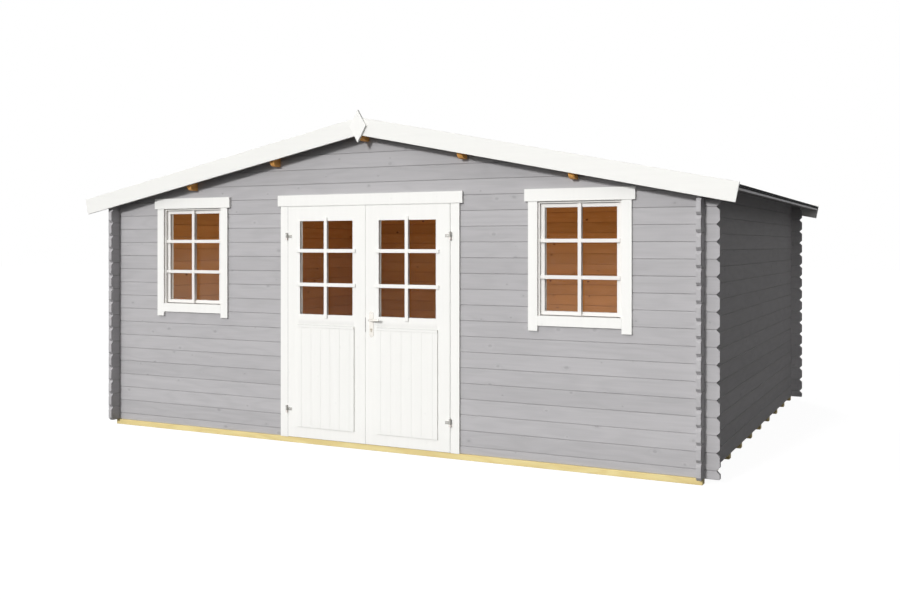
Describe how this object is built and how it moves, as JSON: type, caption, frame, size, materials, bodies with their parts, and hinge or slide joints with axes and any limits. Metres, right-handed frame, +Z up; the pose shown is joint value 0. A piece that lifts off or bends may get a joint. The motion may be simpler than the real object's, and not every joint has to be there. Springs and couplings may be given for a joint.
{
  "type": "log cabin",
  "caption": "Log cabin with interlocking corners, low gable roof on purlins, glazed double doors with a lever handle, and two barred windows.",
  "frame": {"origin": "on the ground, at the centre of the plan", "axes": "+Z up; +Y from the door wall to the rear wall; +X to the right as seen from in front of the doors"},
  "size_m": [5.889, 4.516, 2.7122],
  "materials": {
    "grey_logs": "light grey opaque stain on planed softwood, grain and knots showing through",
    "white_joinery": "white satin paint on planed softwood",
    "bearer_timber": "bare pressure-treated softwood, pale yellow",
    "floor_boards": "bare planed softwood boards",
    "purlin_timber": "bare planed softwood, warm orange",
    "roof_boards": "bare tongue-and-groove softwood boards",
    "grey_batten": "grey stained softwood",
    "roofing_felt": "black mineral roofing felt, matt and gritty",
    "glass": "clear float glass",
    "door_fittings": "satin stainless steel"
  },
  "bodies": {
    "cabin": {"front_bearer": "bearer_timber", "floor_bearers": "bearer_timber", "floor": "floor_boards", "front_wall_left": "grey_logs", "front_wall_right": "grey_logs", "front_gable": "grey_logs", "rear_wall": "grey_logs", "rear_gable": "grey_logs", "left_wall": "grey_logs", "right_wall": "grey_logs", "ridge_purlin": "purlin_timber", "left_purlins": "purlin_timber", "right_purlins": "purlin_timber", "left_roof_boards": "roof_boards", "right_roof_boards": "roof_boards", "left_roof_felt": "roofing_felt", "right_roof_felt": "roofing_felt", "front_left_fascia": "white_joinery", "front_right_fascia": "white_joinery", "rear_left_fascia": "white_joinery", "rear_right_fascia": "white_joinery", "front_finial": "white_joinery", "rear_finial": "white_joinery", "left_eave_batten": "grey_batten", "right_eave_batten": "grey_batten", "door_frame": "white_joinery", "door_trim": "white_joinery", "hinge_pins": "door_fittings", "left_window_frame": "white_joinery", "left_window_sash": "white_joinery", "left_window_glass": "glass", "left_window_trim": "white_joinery", "right_window_frame": "white_joinery", "right_window_sash": "white_joinery", "right_window_glass": "glass", "right_window_trim": "white_joinery"},
    "left_leaf": {"left_door": "white_joinery", "left_door_glass": "glass", "left_hinge_wings": "door_fittings"},
    "right_leaf": {"right_door": "white_joinery", "right_door_glass": "glass", "right_hinge_wings": "door_fittings", "handle_plates": "door_fittings"},
    "lever": {"door_lever": "door_fittings"}
  },
  "joints": [
    {"name": "left_door_hinge", "type": "hinge", "parent": "cabin", "child": "left_leaf", "pos_m": [-0.76, -2.144, 0.045], "axis": [0, 0, -1], "range_deg": [0, 110]},
    {"name": "right_door_hinge", "type": "hinge", "parent": "cabin", "child": "right_leaf", "pos_m": [0.76, -2.144, 0.045], "axis": [0, 0, 1], "range_deg": [0, 110]},
    {"name": "lever_turn", "type": "hinge", "parent": "right_leaf", "child": "lever", "pos_m": [0.056, -2.134, 1.045], "axis": [0, 1, 0], "range_deg": [0, 40], "stiffness_Nm_per_rad": 1.5, "springref_deg": -28.65}
  ]
}
